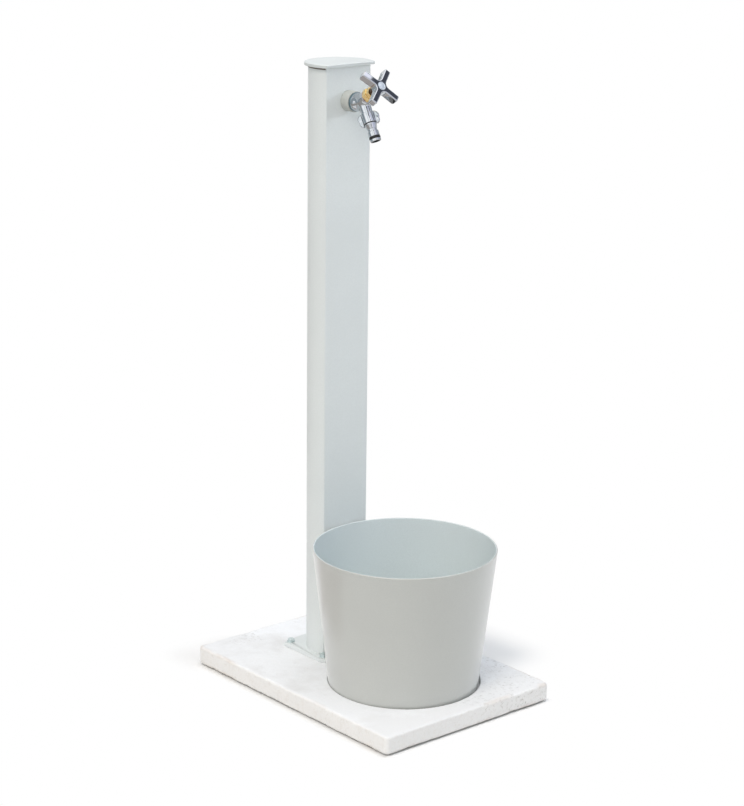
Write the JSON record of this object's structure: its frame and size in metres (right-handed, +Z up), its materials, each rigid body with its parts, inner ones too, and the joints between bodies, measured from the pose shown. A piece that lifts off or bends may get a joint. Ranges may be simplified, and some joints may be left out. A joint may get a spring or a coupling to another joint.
{
  "type": "garden standpipe",
  "caption": "Garden standpipe: a D-section column on a slab carries a screw-down tap with a cross handle and a hose nipple, above a lift-out catch pot.",
  "frame": {"origin": "on the ground under the slab's centre", "axes": "+Z up, -Y to the front, where the tap and the pot are, +X to the right seen from the front"},
  "size_m": [0.343, 0.478, 1],
  "materials": {
    "slab": "whitewashed, rough",
    "paint": "matte powder coat",
    "pot": "matte",
    "chrome": "polished",
    "button": "polished",
    "brass": "turned",
    "zinc": "zinc plated",
    "rubber": "matte",
    "fibre": "matte",
    "pipe": "matte",
    "drain": "matte"
  },
  "bodies": {
    "stand": {"base_slab": "slab", "base_flange": "paint", "column_post": "paint", "column_cap": "paint", "tap_collar": "paint", "tap_body": "chrome", "coupling_nut": "chrome", "hose_nipple": "chrome", "bonnet": "brass", "gland_nut": "brass", "riser_elbow": "brass", "inlet_socket": "brass", "flange_bolts": "zinc", "flange_washers": "zinc", "anchor_sleeves": "zinc", "port_screws": "zinc", "pipe_grommet": "rubber", "elbow_gasket": "rubber", "inlet_washer": "rubber", "gland_packing": "rubber", "nipple_gasket": "rubber", "nipple_seal": "rubber", "slab_pads": "rubber", "bonnet_washer": "fibre", "riser_pipe": "pipe"},
    "jumper": {"jumper_valve": "brass", "valve_washer": "rubber"},
    "handle": {"cross_handle": "chrome", "spindle": "brass", "handle_screw": "zinc", "handle_button": "button"},
    "basin": {"pot": "pot", "drain_outlet": "drain", "drain_gasket": "rubber", "drain_nut": "drain"}
  },
  "joints": [
    {"name": "valve_lift", "type": "slide", "parent": "stand", "child": "jumper", "axis": [0, -0.8572, 0.515], "range_m": [0, 0.0045]},
    {"name": "handle_turn", "type": "hinge", "parent": "jumper", "child": "handle", "pos_m": [0, 0.041, 0.942], "axis": [0, -0.8572, 0.515], "range_deg": [0, 540]},
    {"name": "basin_lift", "type": "slide", "parent": "stand", "child": "basin", "axis": [0, 0, 1], "range_m": [0, 0.12]}
  ],
  "couplings": [
    {"joint": "valve_lift", "follows": "handle_turn", "m_per_rad": 0.00047746}
  ]
}
